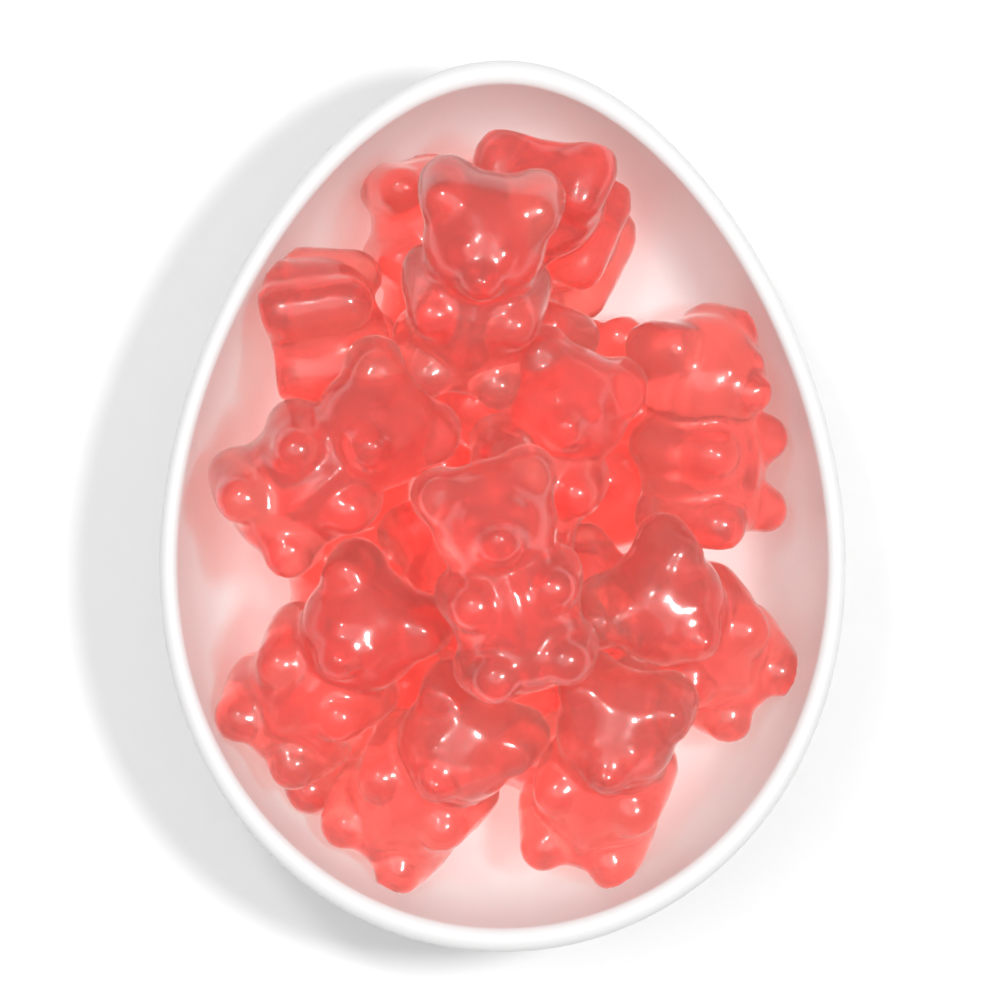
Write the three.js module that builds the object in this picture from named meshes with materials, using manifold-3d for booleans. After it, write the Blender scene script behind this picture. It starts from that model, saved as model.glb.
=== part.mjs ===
// A small egg-shaped dish with a loose heap of fruit jelly bears in it.
// Millimetres, +Z up. The dish stands on z = 0, its pointed end towards +Y.
import * as THREE from 'three';
import { mergeVertices } from 'three/addons/utils/BufferGeometryUtils.js';
import Module from 'manifold-3d';

const wasm = await Module();
wasm.setup();

// ---- driving dimensions: the dish ----
const dishLength = 73.2;
const dishWidth = 55.8; // before the taper, which adds about 1%
const dishHeight = 19;
const floorThickness = 2.4;
const lipFraction = 0.945; // inner edge of the lip, as a share of the outside
const footFraction = 0.6; // flat foot, as a share of the outside
const taper = 0.148; // how much narrower the pointed end gets
const tipRounding = 0.036;
const dishSides = 48;
const wallSteps = 5;
const lipSteps = 4;

// ---- driving dimensions: the heap ----
const contactGap = 0.3; // between the sweets and the dish
const headroom = 45; // how far above the dish the heap may reach
const core = { at: [0, -1, 6], radii: [18, 26, 12], faces: [12, 8] }; // under the bears

// ---- driving dimensions: one bear, on its flat back, head towards +Y ----
// The trunk's forms are ellipsoids: centre, half sizes, and how many faces they
// have round them and from back to front. Ears and limbs are on both sides:
// pegs that stand on the flat back, widest there, lean to the tip's place and
// are rounded at the tip.
const trunk = [
  { at: [0, -1.4, 3.6], radii: [5.4, 6.6, 5.6], faces: [8, 5] }, // belly
  { at: [0, 5.3, 4.2], radii: [5.2, 4.7, 5.5], faces: [8, 5] }, // head
  { at: [0, 4.6, 9.2], radii: [2.4, 2.2, 2.5], faces: [5, 4] }, // snout
];
const pegs = [
  { at: [3.7, 8.7], tip: [3.7, 8.9], width: 4.8, reach: 7.4 }, // ears
  { at: [4.1, 0.2], tip: [3.3, -0.3], width: 4.9, reach: 10 }, // arms
  { at: [4.0, -6.0], tip: [3.0, -6.5], width: 4.9, reach: 10 }, // legs
];
const pegOutline = [[1, 0], [0.88, 0.78], [0.58, 0.94], [0, 1]]; // shares of half width and reach
const pegSides = 6;
const bearMiddle = [0, 1.6, 5]; // the point that a bear is placed and turned about

// Each bear that shows: where its middle is, which way its head points seen
// from above (0 is +X, 90 is +Y), how far the head is raised, and its roll.
const bears = [
  { name: 'top', at: [0.3, -5.2, 26.6], heading: 104, raised: 7, roll: 1, size: 1 },
  { name: 'upper', at: [-2, 17.8, 23.2], heading: 80, raised: 23, roll: 3, size: 1 },
  { name: 'upperRight', at: [3.7, 23, 13.8], heading: 113, raised: 76, roll: -38, size: 0.98 },
  { name: 'upperLeft', at: [-14.2, 11.3, 12], heading: -84, raised: -25, roll: -80, size: 0.96 },
  { name: 'behindUpper', at: [-5.4, 19.1, 9], heading: -87, raised: -9, roll: -8, size: 0.96 },
  { name: 'left', at: [-13.3, 3.9, 20.6], heading: 39, raised: 6, roll: 12, size: 1 },
  { name: 'middle', at: [3.8, 4.6, 18.7], heading: 65, raised: 10, roll: 7, size: 0.98 },
  { name: 'right', at: [17.5, 7, 12.9], heading: 94, raised: 13, roll: 49, size: 0.98 },
  { name: 'lowerRight', at: [15.3, -8.9, 14.5], heading: 134, raised: 44, roll: 1, size: 0.98 },
  { name: 'lowerLeft', at: [-13.9, -12.2, 17.3], heading: 49, raised: 27, roll: 1, size: 1 },
  { name: 'bottomLeft', at: [-5.7, -22.1, 15], heading: 48, raised: 36, roll: 6, size: 0.98 },
  { name: 'bottomRight', at: [8.5, -21.4, 15], heading: 73, raised: 40, roll: 2, size: 0.98 },
];

const degrees = Math.PI / 180;

// A point of the dish's outline, at a share of its full size.
function eggPoint(share, turn) {
  const up = Math.sin(turn);
  const narrowing = 1 - taper * up - tipRounding * up * up;
  return [share * (dishWidth / 2) * Math.cos(turn) * narrowing, share * (dishLength / 2) * up];
}

// A closed three.js geometry as a solid. Triangles that shrank to a line,
// as at a lathe's poles, are left out.
function solidOf(geometry) {
  const bare = geometry.clone();
  bare.deleteAttribute('normal');
  bare.deleteAttribute('uv');
  const merged = mergeVertices(bare, 1e-4);
  const corners = merged.index.array;
  const triVerts = [];
  for (let i = 0; i < corners.length; i += 3) {
    const [a, b, c] = corners.slice(i, i + 3);
    if (a !== b && b !== c && c !== a) triVerts.push(a, b, c);
  }
  return new wasm.Manifold(new wasm.Mesh({
    numProp: 3,
    vertProperties: merged.attributes.position.array,
    triVerts: new Uint32Array(triVerts),
  }));
}

function geometryOf(solid) {
  const mesh = solid.getMesh();
  const geometry = new THREE.BufferGeometry();
  geometry.setAttribute('position', new THREE.BufferAttribute(mesh.vertProperties, 3));
  geometry.setIndex(new THREE.BufferAttribute(mesh.triVerts, 1));
  geometry.computeVertexNormals();
  return geometry;
}

// Turns a profile of (share of the outline, height) points round the egg.
function eggLathe(profile) {
  const geometry = new THREE.LatheGeometry(profile, dishSides);
  geometry.rotateX(Math.PI / 2);
  const place = geometry.attributes.position;
  for (let i = 0; i < place.count; i += 1) {
    const share = Math.hypot(place.getX(i), place.getY(i));
    const turn = Math.atan2(place.getY(i), place.getX(i));
    place.setXY(i, ...eggPoint(share, turn));
  }
  return solidOf(geometry);
}

// The inner face of the wall, from the floor's middle up to the lip,
// moved inwards by a clearance.
function innerWall(clearance) {
  const closer = clearance / (dishWidth / 2);
  const floor = floorThickness + clearance;
  return new THREE.CubicBezierCurve(
    new THREE.Vector2(0.55, floor),
    new THREE.Vector2(0.84 - closer, floor + 0.2),
    new THREE.Vector2(0.9 - closer, floor + 5),
    new THREE.Vector2(lipFraction - closer, dishHeight - 0.8),
  ).getPoints(wallSteps);
}

function makeDish() {
  const outerWall = new THREE.CubicBezierCurve(
    new THREE.Vector2(footFraction, 0),
    new THREE.Vector2(0.84, 0.4),
    new THREE.Vector2(0.96, 7),
    new THREE.Vector2(1, dishHeight - 0.8),
  ).getPoints(wallSteps);
  const lip = [];
  const lipHalf = (1 - lipFraction) / 2;
  for (let i = 1; i < lipSteps; i += 1) {
    const turn = (Math.PI * i) / lipSteps;
    const share = 1 - lipHalf + lipHalf * Math.cos(turn);
    lip.push(new THREE.Vector2(share, dishHeight - 0.8 + 0.8 * Math.sin(turn)));
  }
  return eggLathe([
    new THREE.Vector2(0, 0),
    ...outerWall,
    ...lip,
    ...innerWall(0).reverse(),
    new THREE.Vector2(0, floorThickness),
  ]);
}

// The space that the heap may fill: the hollow of the dish and the air above it.
function makeRoom() {
  const wall = innerWall(contactGap);
  const edge = wall[wall.length - 1];
  return eggLathe([
    new THREE.Vector2(0, floorThickness + contactGap),
    ...wall,
    new THREE.Vector2(edge.x, headroom),
    new THREE.Vector2(0, headroom),
  ]);
}

function ellipsoid({ at, radii, faces }) {
  const geometry = new THREE.SphereGeometry(1, ...faces);
  geometry.rotateX(Math.PI / 2);
  geometry.scale(...radii);
  geometry.translate(...at);
  return solidOf(geometry);
}

function peg({ at, tip, width, reach }, side) {
  const profile = [new THREE.Vector2(0, 0)];
  for (const [out, up] of pegOutline) profile.push(new THREE.Vector2((out * width) / 2, up * reach));
  const geometry = new THREE.LatheGeometry(profile, pegSides);
  geometry.rotateX(Math.PI / 2);
  const [across, along] = [(tip[0] - at[0]) / reach, (tip[1] - at[1]) / reach];
  geometry.applyMatrix4(new THREE.Matrix4().makeShear(0, 0, 0, 0, across * side, along));
  geometry.translate(at[0] * side, at[1], 0);
  return solidOf(geometry);
}

// One bear, cast with a flat back, with its middle at the origin.
function makeBear() {
  let body = trunk.map(ellipsoid).reduce((all, form) => all.add(form));
  for (const side of [-1, 1]) {
    for (const form of pegs) body = body.add(peg(form, side));
  }
  const backing = new THREE.BoxGeometry(40, 40, 20);
  backing.translate(0, 0, -10);
  return body.subtract(solidOf(backing)).translate(bearMiddle.map((size) => -size));
}

function placed(solid, { at, heading, raised, roll, size }) {
  const turn = new THREE.Euler(raised * degrees, roll * degrees, (heading - 90) * degrees, 'ZXY');
  const move = new THREE.Matrix4().makeRotationFromEuler(turn).setPosition(...at);
  return solid.scale(size).transform(move.elements);
}

function makeHeap() {
  const oneBear = makeBear();
  let heap = ellipsoid(core);
  for (const place of bears) heap = heap.add(placed(oneBear, place));
  // the largest piece alone, which fills any hollow that the bears close off
  const pieces = heap.intersect(makeRoom()).decompose();
  return pieces.reduce((largest, piece) => (piece.volume() > largest.volume() ? piece : largest));
}

function named(name, solid, material) {
  const mesh = new THREE.Mesh(geometryOf(solid), material);
  mesh.name = name;
  return mesh;
}

const porcelain = new THREE.MeshStandardMaterial({ color: '#f4f3f2', roughness: 0.35, metalness: 0 });
const jelly = new THREE.MeshStandardMaterial({ color: '#f0524c', roughness: 0.25, metalness: 0 });

const part = new THREE.Group();
part.add(named('dish', makeDish(), porcelain));
part.add(named('gummy_heap', makeHeap(), jelly));

export default part;
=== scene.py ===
from math import atan2, cos, hypot, pi, radians, sin
from random import Random

import bmesh
import bpy
from mathutils import Matrix, Vector, noise


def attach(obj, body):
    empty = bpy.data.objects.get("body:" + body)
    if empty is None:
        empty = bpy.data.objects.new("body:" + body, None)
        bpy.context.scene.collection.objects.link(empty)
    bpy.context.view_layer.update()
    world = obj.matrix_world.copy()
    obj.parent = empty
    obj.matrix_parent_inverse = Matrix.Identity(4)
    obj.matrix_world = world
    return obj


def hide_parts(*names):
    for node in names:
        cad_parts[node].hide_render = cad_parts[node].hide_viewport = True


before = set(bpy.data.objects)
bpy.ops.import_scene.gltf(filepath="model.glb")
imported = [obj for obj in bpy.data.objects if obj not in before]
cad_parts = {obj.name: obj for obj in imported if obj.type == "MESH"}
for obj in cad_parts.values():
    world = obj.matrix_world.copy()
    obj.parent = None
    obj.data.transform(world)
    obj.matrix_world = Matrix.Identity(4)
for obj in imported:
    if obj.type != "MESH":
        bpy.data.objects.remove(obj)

# A small egg-shaped porcelain dish with a loose heap of red jelly bears.
# Sizes below are millimetres, and mm turns them into metres.
mm = 0.001
scene = bpy.context.scene
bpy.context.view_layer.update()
print("frame loaded")


# an sRGB hex colour as linear red, green, blue and alpha
def linear(hexColour):
    channels = [int(hexColour[i:i + 2], 16) / 255 for i in (1, 3, 5)]
    return tuple(c / 12.92 if c <= 0.04045 else ((c + 0.055) / 1.055) ** 2.4
                 for c in channels) + (1.0,)


# adds one node; settings are sockets or properties by name, links are sockets by name
def addNode(tree, kind, settings=None, links=None):
    node = tree.nodes.new(kind)
    for name, value in (settings or {}).items():
        if name in node.inputs:
            node.inputs[name].default_value = value
        else:
            setattr(node, name, value)
    for name, source in (links or {}).items():
        tree.links.new(source, node.inputs[name])
    return node


def newMaterial(name):
    material = bpy.data.materials.new(name)
    material.use_nodes = True
    material.node_tree.nodes.clear()
    return material, material.node_tree


def newPiece(name, bm, material):
    mesh = bpy.data.meshes.new(name)
    bm.to_mesh(mesh)
    bm.free()
    piece = bpy.data.objects.new(name, mesh)
    scene.collection.objects.link(piece)
    piece.data.materials.append(material)
    return piece


def shadeSmooth(bm):
    for face in bm.faces:
        face.smooth = True


# Glazed porcelain: fired white body under a thin satin glaze, so it is white
# and even, with a soft highlight and very faint unevenness from the dipping.
glaze = dict(colour="#EFEEEE", roughness=0.42, ior=1.5, waveSize=6.0, waveDepth=0.012)


def glazedPorcelain():
    material, tree = newMaterial("glazedPorcelain")
    place = addNode(tree, "ShaderNodeTexCoord")
    wave = addNode(tree, "ShaderNodeTexNoise",
                   {"Scale": 1 / (glaze["waveSize"] * mm), "Detail": 2.0},
                   {"Vector": place.outputs["Object"]})
    bump = addNode(tree, "ShaderNodeBump", {"Strength": 1.0, "Distance": glaze["waveDepth"] * mm},
                   {"Height": wave.outputs["Fac"]})
    skin = addNode(tree, "ShaderNodeBsdfPrincipled",
                   {"Base Color": linear(glaze["colour"]), "Roughness": glaze["roughness"],
                    "IOR": glaze["ior"]},
                   {"Normal": bump.outputs["Normal"]})
    addNode(tree, "ShaderNodeOutputMaterial", None, {"Surface": skin.outputs["BSDF"]})
    return material


# Pectin and gelatine jelly, cast in starch: the starch leaves a fine satin
# grain on the skin, and the red comes from the depth of clear jelly.
jelly = dict(
    skin="#FAB4AA", roughness=0.26, ior=1.42, clear=0.86, gloss=0.07,
    bloom="#FFE0DA", bloomShare=0.3, bloomSpread=0.3,
    shade="#FFE0DD",                      # tint of the light that the skin lets through
    bounceShade=(1.03, 1.25, 1.25, 1.0),  # the same for light that comes from other surfaces
    depthColour=(0.94, 0.2, 0.16, 1.0), density=117.0,
    grainSize=0.16, grainDepth=0.005,     # coarser than real starch grain, so that it shows
    swellSize=2.6, swellDepth=0.03,
)


def castJelly():
    material, tree = newMaterial("castJelly")
    place = addNode(tree, "ShaderNodeTexCoord")
    grain = addNode(tree, "ShaderNodeTexNoise",
                    {"Scale": 1 / (jelly["grainSize"] * mm), "Detail": 2.0},
                    {"Vector": place.outputs["Object"]})
    swell = addNode(tree, "ShaderNodeTexNoise",
                    {"Scale": 1 / (jelly["swellSize"] * mm), "Detail": 1.0},
                    {"Vector": place.outputs["Object"]})
    broad = addNode(tree, "ShaderNodeBump",
                    {"Strength": 1.0, "Distance": jelly["swellDepth"] * mm},
                    {"Height": swell.outputs["Fac"]})
    fine = addNode(tree, "ShaderNodeBump",
                   {"Strength": 1.0, "Distance": jelly["grainDepth"] * mm},
                   {"Height": grain.outputs["Fac"], "Normal": broad.outputs["Normal"]})
    skin = addNode(tree, "ShaderNodeBsdfPrincipled",
                   {"Base Color": linear(jelly["skin"]), "Roughness": jelly["roughness"],
                    "IOR": jelly["ior"], "Transmission Weight": jelly["clear"],
                    "Coat Weight": 1.0, "Coat Roughness": jelly["gloss"], "Coat IOR": jelly["ior"],
                    "Sheen Weight": jelly["bloomShare"], "Sheen Roughness": jelly["bloomSpread"],
                    "Sheen Tint": linear(jelly["bloom"])},
                   {"Normal": fine.outputs["Normal"], "Coat Normal": fine.outputs["Normal"]})
    light = addNode(tree, "ShaderNodeLightPath")
    # light that is scattered round inside the jelly keeps more of its white than on a straight path
    through = addNode(tree, "ShaderNodeBsdfTransparent", {"Color": jelly["bounceShade"]})
    bounced = addNode(tree, "ShaderNodeMixShader", None,
                      {0: light.outputs["Is Diffuse Ray"], 1: skin.outputs["BSDF"],
                       2: through.outputs["BSDF"]})
    # a lamp's light goes straight through with a tint, so the sweets cast pink shadows
    clear = addNode(tree, "ShaderNodeBsdfTransparent", {"Color": linear(jelly["shade"])})
    surface = addNode(tree, "ShaderNodeMixShader", None,
                      {0: light.outputs["Is Shadow Ray"], 1: bounced.outputs["Shader"],
                       2: clear.outputs["BSDF"]})
    depth = addNode(tree, "ShaderNodeVolumeAbsorption",
                    {"Color": jelly["depthColour"], "Density": jelly["density"]})
    addNode(tree, "ShaderNodeOutputMaterial", None,
            {"Surface": surface.outputs["Shader"], "Volume": depth.outputs["Volume"]})
    return material


porcelainFinish = glazedPorcelain()
jellyFinish = castJelly()
print("materials made")

# The dish. Shares are of its outline; the points of the two curves shape its wall.
dish = dict(
    length=73.2, width=55.8, height=19.0, floor=2.4,
    taper=0.148, tip=0.036,                # how the outline narrows to the pointed end
    foot=0.6, outerCurve=((0.84, 0.4), (0.96, 7)),
    floorEdge=0.55, innerCurve=((0.84, 0.2), (0.9, 5)),  # heights over the floor
    lip=0.945, lipRound=0.8,               # inner edge of the lip and how high it is rounded
    footRing=0.3, floorRing=0.28,          # rings that split the flat foot and the floor
    sides=160, wallSteps=22, lipSteps=10, mergeDistance=1e-5,
)


# how much narrower the outline is, towards (1) or away from (-1) the pointed end
def narrowing(up):
    return 1 - dish["taper"] * up - dish["tip"] * up * up


# a point of the dish's outline at a share of its full size
def eggPoint(share, turn):
    up = sin(turn)
    return (share * dish["width"] / 2 * cos(turn) * narrowing(up),
            share * dish["length"] / 2 * up)


def bezier(a, b, c, d, steps):
    points = []
    for i in range(steps + 1):
        t = i / steps
        weights = ((1 - t) ** 3, 3 * t * (1 - t) ** 2, 3 * t * t * (1 - t), t ** 3)
        points.append(tuple(sum(w * p[k] for w, p in zip(weights, (a, b, c, d))) for k in (0, 1)))
    return points


# share and height of the inner wall, from the floor up to the lip
def innerWall(steps):
    low, high = [(share, dish["floor"] + up) for share, up in dish["innerCurve"]]
    return bezier((dish["floorEdge"], dish["floor"]), low, high,
                  (dish["lip"], dish["height"] - dish["lipRound"]), steps)


def makeDish():
    lipBase = dish["height"] - dish["lipRound"]
    outer = bezier((dish["foot"], 0), *dish["outerCurve"], (1, lipBase), dish["wallSteps"])
    half = (1 - dish["lip"]) / 2
    lip = []
    for i in range(1, dish["lipSteps"]):
        turn = pi * i / dish["lipSteps"]
        lip.append((1 - half + half * cos(turn), lipBase + dish["lipRound"] * sin(turn)))
    inner = innerWall(dish["wallSteps"])[::-1]
    profile = [(0, 0), (dish["footRing"], 0), *outer, *lip, *inner,
               (dish["floorRing"], dish["floor"]), (0, dish["floor"])]
    bm = bmesh.new()
    corners = [bm.verts.new((share, 0, height)) for share, height in profile]
    edges = [bm.edges.new(pair) for pair in zip(corners, corners[1:])]
    bmesh.ops.spin(bm, geom=corners + edges, cent=(0, 0, 0), axis=(0, 0, 1), angle=2 * pi,
                   steps=dish["sides"], use_merge=True)
    bmesh.ops.remove_doubles(bm, verts=bm.verts, dist=dish["mergeDistance"])
    for vert in bm.verts:  # from a round plate to the egg
        x, y = eggPoint(hypot(vert.co.x, vert.co.y), atan2(vert.co.y, vert.co.x))
        vert.co = Vector((x, y, vert.co.z)) * mm
    bmesh.ops.recalc_face_normals(bm, faces=bm.faces)
    shadeSmooth(bm)
    return newPiece("porcelainDish", bm, porcelainFinish)


porcelainDish = makeDish()
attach(porcelainDish, "root")
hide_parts("dish")
print("dish made")

# One bear, on its flat back, head towards +Y, front up. Blobs are a centre and
# half sizes. Pegs stand on the back, widest there, and come in pairs.
bear = dict(
    blobs=dict(
        belly=((0, -1.4, 3.6), (5.4, 6.6, 5.6)),
        head=((0, 5.3, 4.2), (5.2, 4.7, 5.5)),
        snout=((0, 4.5, 8.9), (2.1, 2.0, 2.3)),
        ridge=((0, -1.6, 8.6), (0.9, 3.4, 1.1)),
        rump=((0, -5.7, 4.4), (4.6, 3.1, 4.6)),
        brow=((0, 7.3, 4.0), (5.4, 3.4, 4.3)),
        slab=((0, -2.6, 1.8), (5.3, 6.4, 3.2)),
    ),
    pegs=dict(
        ears=dict(at=(3.6, 8.3), tip=(3.6, 8.5), width=5.2, reach=7.1),
        arms=dict(at=(4.1, 0.2), tip=(3.4, -0.3), width=4.9, reach=9.8),
        legs=dict(at=(4.0, -6.0), tip=(3.1, -6.5), width=4.9, reach=9.8),
    ),
    draft=0.86,           # width at the tip, as a share of the full width
    pegBase=2.1,          # height over the back at which a peg has its full width
    baseStretch=1.35,     # how much higher than wide a peg's base is
    # raised or sunk spots: centre, how far they reach, how far they stand out
    spots=[
        dict(at=(0, 5.2, 11.1), reach=0.9, rise=0.3),     # nose
        dict(at=(-1.9, 6.9, 9.2), reach=0.8, rise=0.3),   # eyes
        dict(at=(1.9, 6.9, 9.2), reach=0.8, rise=0.3),
        dict(at=(-3.8, 8.7, 7.1), reach=1.4, rise=-0.3),  # ear hollows
        dict(at=(3.8, 8.7, 7.1), reach=1.4, rise=-0.3),
    ],
    spotFade=1.6,         # where a spot ends, as a multiple of its reach
    middle=(0, 1.6, 5.0),
    blobDivisions=4, pegDivisions=3, pegSides=32,
    voxel=0.49, smoothing=5, edgeHeight=1.6, edgeSmoothing=8, smoothShare=0.5,
)


def addBlob(bm, at, radii):
    place = Matrix.Translation(at) @ Matrix.Diagonal((*radii, 1))
    bmesh.ops.create_icosphere(bm, subdivisions=bear["blobDivisions"], radius=1, matrix=place)


def addPeg(bm, at, tip, width, reach, side):
    wide, narrow = width / 2, width / 2 * bear["draft"]
    base, top = bear["pegBase"], reach - narrow
    lean = Matrix.Identity(4)
    for row in (0, 1):
        lean[row][2] = (tip[row] - at[row]) / top
    place = Matrix.Diagonal((side, 1, 1, 1)) @ Matrix.Translation((*at, 0)) @ lean
    low, middle, high = [place @ Matrix.Translation((0, 0, z)) for z in (base, (base + top) / 2, top)]
    bmesh.ops.create_icosphere(bm, subdivisions=bear["pegDivisions"], radius=wide,
                               matrix=low @ Matrix.Scale(bear["baseStretch"], 4, (0, 0, 1)))
    bmesh.ops.create_cone(bm, cap_ends=True, segments=bear["pegSides"], radius1=wide,
                          radius2=narrow, depth=top - base, matrix=middle)
    bmesh.ops.create_icosphere(bm, subdivisions=bear["pegDivisions"], radius=narrow, matrix=high)


# melts the forms into one skin
def addBlend(piece):
    blend = piece.modifiers.new("blend", "REMESH")
    blend.mode = "VOXEL"
    blend.voxel_size = bear["voxel"]
    blend.use_smooth_shade = True


def applyModifiers(piece):
    depsgraph = bpy.context.evaluated_depsgraph_get()
    shape = bpy.data.meshes.new_from_object(piece.evaluated_get(depsgraph))
    piece.modifiers.clear()
    piece.data = shape


def cutFlatBack(piece):
    bm = bmesh.new()
    bm.from_mesh(piece.data)
    cut = bmesh.ops.bisect_plane(bm, geom=bm.verts[:] + bm.edges[:] + bm.faces[:],
                                 plane_co=(0, 0, 0), plane_no=(0, 0, -1), clear_outer=True)
    rim = [edge for edge in cut["geom_cut"] if isinstance(edge, bmesh.types.BMEdge)]
    bmesh.ops.edgeloop_fill(bm, edges=rim)
    bm.to_mesh(piece.data)
    bm.free()


# the soft edge round the flat back
def softenEdge(piece):
    bm = bmesh.new()
    bm.from_mesh(piece.data)
    low = [vert for vert in bm.verts if vert.co.z < bear["edgeHeight"]]
    for _ in range(bear["edgeSmoothing"]):
        bmesh.ops.smooth_vert(bm, verts=low, factor=bear["smoothShare"],
                              use_axis_x=True, use_axis_y=True, use_axis_z=True)
    bm.to_mesh(piece.data)
    bm.free()


def raiseSpot(mesh, at, reach, rise):
    middle = Vector(at)
    near = [(vert, (vert.co - middle).length / (reach * bear["spotFade"])) for vert in mesh.vertices]
    away = sum((vert.normal for vert, share in near if share < 1), Vector()).normalized()
    for vert, share in near:
        if share < 1:
            vert.co += away * rise * (1 - share * share) ** 2


def makeBear():
    bm = bmesh.new()
    for blob in bear["blobs"].values():
        addBlob(bm, *blob)
    for peg in bear["pegs"].values():
        for side in (-1, 1):
            addPeg(bm, **peg, side=side)
    bmesh.ops.recalc_face_normals(bm, faces=bm.faces)
    one = newPiece("oneBear", bm, jellyFinish)
    addBlend(one)
    applyModifiers(one)
    cutFlatBack(one)
    addBlend(one)
    soften = one.modifiers.new("soften", "SMOOTH")
    soften.factor = bear["smoothShare"]
    soften.iterations = bear["smoothing"]
    applyModifiers(one)
    softenEdge(one)
    for spot in bear["spots"]:
        raiseSpot(one.data, **spot)
    return one


oneBear = makeBear()
print("one bear:", len(oneBear.data.polygons), "faces")

# The heap. No two sweets are alike: each has soft swellings, a bend along the
# body and a twist.
heap = dict(
    swellSize=4.6, swellDepth=0.17, bend=0.006, twist=0.012,
    seed=7, noiseSpan=90,
    gap=0.12,                      # between a sweet and the dish
    halfWidth=28.0,                # turns that gap into a share of the dish's outline
    wallSteps=60, shareSteps=6,
)
# where each bear's middle is, where its head points seen from above (0 is +X, 90 is +Y),
# how far the head is raised, and its roll
bears = [
    dict(name="top", at=(0.3, -5.2, 26.6), heading=104, raised=7, roll=1, size=1),
    dict(name="upper", at=(-2, 18.2, 22.6), heading=80, raised=33, roll=3, size=1),
    dict(name="upperRight", at=(3.7, 23.6, 13.8), heading=113, raised=70, roll=-38, size=0.98),
    dict(name="upperLeft", at=(-13.2, 11.1, 12), heading=-84, raised=-25, roll=-80, size=0.96,
         bend=-0.014),
    dict(name="behindUpper", at=(-5.4, 19.1, 9), heading=-87, raised=-9, roll=-8, size=0.96),
    dict(name="left", at=(-13.3, 3.9, 20.6), heading=39, raised=6, roll=12, size=1),
    dict(name="middle", at=(3.8, 4.6, 18.7), heading=65, raised=10, roll=7, size=0.98),
    dict(name="right", at=(17.5, 7, 12.9), heading=94, raised=13, roll=49, size=0.98),
    dict(name="lowerRight", at=(15.5, -10.3, 14.5), heading=134, raised=44, roll=1, size=0.98),
    dict(name="lowerLeft", at=(-13.9, -12.9, 17.3), heading=49, raised=27, roll=1, size=1),
    dict(name="bottomLeft", at=(-5.7, -22.1, 15), heading=48, raised=36, roll=6, size=0.98),
    dict(name="bottomRight", at=(8.5, -21.4, 15), heading=73, raised=40, roll=2, size=0.98),
    dict(name="lowRight", at=(8.2, 5.4, 7.4), heading=-81, raised=0, roll=0, size=1),
    dict(name="lowLeft", at=(-12.7, -2.4, 7.9), heading=89, raised=-1, roll=-3, size=0.97),
    dict(name="lowMiddle", at=(-1.6, -6.6, 8.9), heading=114, raised=-1, roll=63, size=0.97),
    dict(name="lowUpper", at=(-1.6, 10.4, 11.6), heading=61, raised=1, roll=-50, size=0.97),
    dict(name="lowInner", at=(8.9, -11, 10.1), heading=-41, raised=-45, roll=124, size=0.97),
    dict(name="lowFoot", at=(4.6, -18.6, 9.0), heading=3, raised=12, roll=154, size=0.97),
    dict(name="lowBottom", at=(-10.8, -16.6, 7.3), heading=32, raised=0, roll=0, size=1),
]
wallLine = innerWall(heap["wallSteps"])


def bearPlace(place):
    return (Matrix.Translation(place["at"])
            @ Matrix.Rotation(radians(place["heading"] - 90), 4, "Z")
            @ Matrix.Rotation(radians(place["raised"]), 4, "X")
            @ Matrix.Rotation(radians(place["roll"]), 4, "Y")
            @ Matrix.Scale(place["size"], 4) @ Matrix.Translation(-Vector(bear["middle"])))


# share of the dish's outline at which a point of the plan lies
def shareOf(x, y):
    u, v = x / (dish["width"] / 2), y / (dish["length"] / 2)
    share = hypot(u, v)
    for _ in range(heap["shareSteps"]):
        share = hypot(u / narrowing(v / max(share, 1e-6)), v)
    return share


# where a sweet meets the dish, it lies flat against the wall or the floor
def keepInside(spot):
    gap = heap["gap"]
    spot.z = max(spot.z, dish["floor"] + gap)
    if spot.z >= dish["height"]:
        return
    widest = next((share for share, height in wallLine if height >= spot.z - gap), dish["lip"])
    widest -= gap / heap["halfWidth"]
    share = shareOf(spot.x, spot.y)
    if share > widest:
        squeeze = widest / share
        spot.x *= squeeze
        spot.y *= squeeze


def makeHeap():
    draw = Random(heap["seed"])
    bm = bmesh.new()
    for place in bears:
        before = len(bm.verts)
        bm.from_mesh(oneBear.data)
        bm.verts.ensure_lookup_table()
        shift = Vector([draw.uniform(0, heap["noiseSpan"]) for _ in range(3)])
        bend = place.get("bend", 0) + draw.uniform(-1, 1) * heap["bend"]
        twist = draw.uniform(-1, 1) * heap["twist"]
        move = bearPlace(place)
        for vert in bm.verts[before:]:
            along = vert.co.y - bear["middle"][1]
            swell = noise.noise(vert.co / heap["swellSize"] + shift) * heap["swellDepth"]
            spot = vert.co + vert.normal * swell
            spot.z += bend * along * along + twist * along * spot.x
            spot = move @ spot
            keepInside(spot)
            vert.co = spot
    bmesh.ops.scale(bm, vec=(mm, mm, mm), verts=bm.verts)
    shadeSmooth(bm)
    return newPiece("gummyBears", bm, jellyFinish)


gummyBears = makeHeap()
bpy.data.objects.remove(oneBear)
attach(gummyBears, "root")
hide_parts("gummy_heap")
print("bears placed:", len(bears))

# Floor, room, lamps and camera. The camera looks straight down, and pixelsPerMm
# is the scale at the height of the dish's rim.
stage = dict(
    floorSize=2000.0, floorColour="#FFFFFF", floorRoughness=0.9,
    worldColour="#FFFFFF", worldStrength=0.25,
    cameraHeight=619.0, cameraAlong=0.3, sensor=36.0, pixelsPerMm=12.2, pictureWidth=1005,
    nearClip=10.0,
)
lamps = [
    dict(name="keyLight", at=(188, 18, 475), size=80.0, power=1.25, shines=True),
    dict(name="fillLight", at=(-200, 20, 460), size=300.0, power=0.5, shines=False),
    dict(name="smallLight", at=(-110, 150, 460), size=60.0, power=0.35, shines=True),
    dict(name="topLight", at=(0, 0, 950), size=800.0, power=1.45, shines=True),
]


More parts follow.
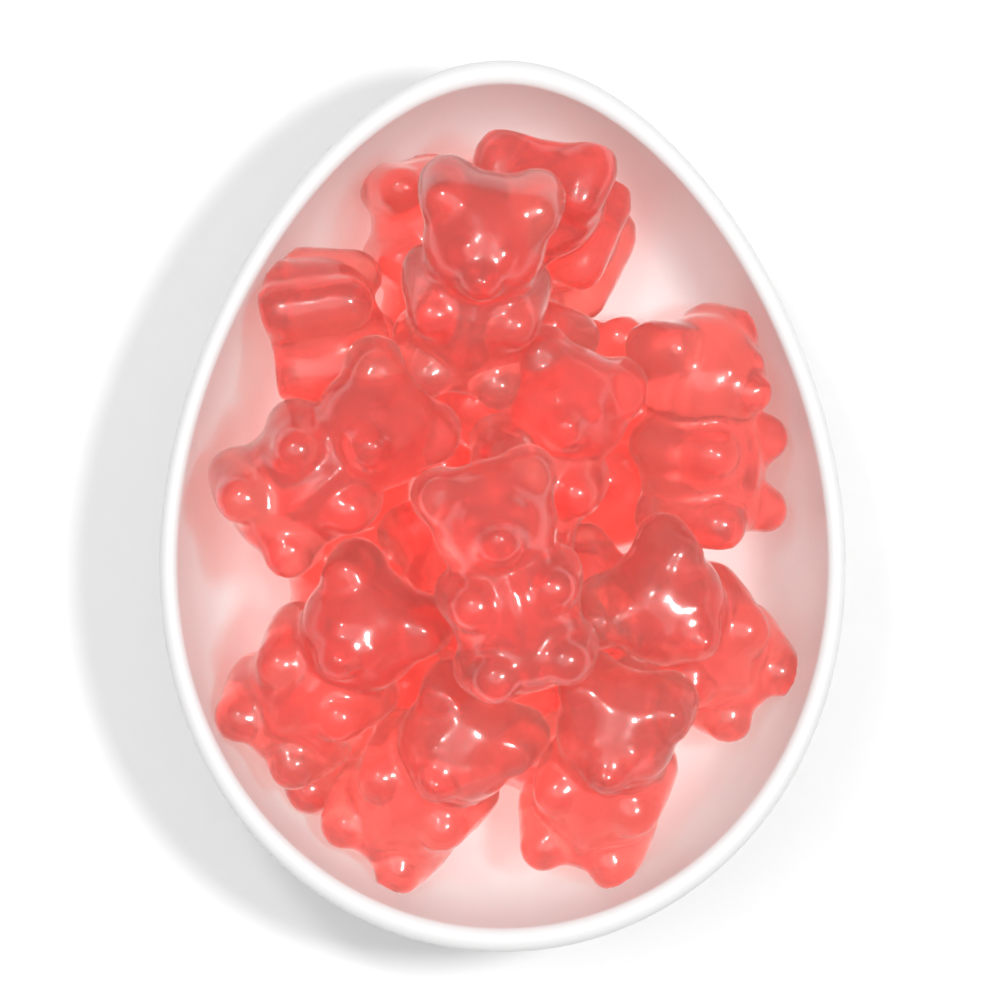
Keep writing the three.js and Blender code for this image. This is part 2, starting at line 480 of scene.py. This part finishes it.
def makeFloor():
    bm = bmesh.new()
    bmesh.ops.create_grid(bm, x_segments=1, y_segments=1, size=stage["floorSize"] / 2 * mm)
    material, tree = newMaterial("paleFloor")
    skin = addNode(tree, "ShaderNodeBsdfPrincipled",
                   {"Base Color": linear(stage["floorColour"]),
                    "Roughness": stage["floorRoughness"], "Specular IOR Level": 0.0})
    addNode(tree, "ShaderNodeOutputMaterial", None, {"Surface": skin.outputs["BSDF"]})
    floor = newPiece("paleFloor", bm, material)


def makeWorld():
    world = bpy.data.worlds.new("studio")
    world.use_nodes = True
    world.node_tree.nodes.clear()
    sky = addNode(world.node_tree, "ShaderNodeBackground",
                  {"Color": linear(stage["worldColour"]), "Strength": stage["worldStrength"]})
    addNode(world.node_tree, "ShaderNodeOutputWorld", None, {"Surface": sky.outputs["Background"]})
    scene.world = world


def makeLamp(spec):
    lamp = bpy.data.lights.new(spec["name"], "AREA")
    lamp.shape = "DISK"
    lamp.size = spec["size"] * mm
    lamp.energy = spec["power"]
    light = bpy.data.objects.new(spec["name"], lamp)
    light.location = Vector(spec["at"]) * mm
    light.rotation_euler = (-light.location).to_track_quat("-Z", "Y").to_euler()
    light.visible_glossy = spec["shines"]  # the fill leaves no highlights of its own
    scene.collection.objects.link(light)


def makeCamera():
    lens = bpy.data.cameras.new("camera")
    lens.sensor_width = stage["sensor"]
    seen = stage["pictureWidth"] / stage["pixelsPerMm"]  # width of the view at the rim's height
    lens.lens = stage["sensor"] * (stage["cameraHeight"] - dish["height"]) / seen
    lens.clip_start = stage["nearClip"] * mm
    camera = bpy.data.objects.new("camera", lens)
    camera.location = Vector((0, stage["cameraAlong"], stage["cameraHeight"])) * mm
    scene.collection.objects.link(camera)
    scene.camera = camera


makeFloor()
makeWorld()
for spec in lamps:
    makeLamp(spec)
makeCamera()
scene.view_settings.view_transform = "Standard"
scene.cycles.use_denoising = True
scene.cycles.use_light_tree = False
scene.cycles.adaptive_threshold = 0.1
scene.cycles.caustics_refractive = False
scene.cycles.caustics_reflective = False
scene.cycles.max_bounces = 8
scene.cycles.transmission_bounces = 8
scene.cycles.transparent_max_bounces = 32
print("stage, light and camera made")
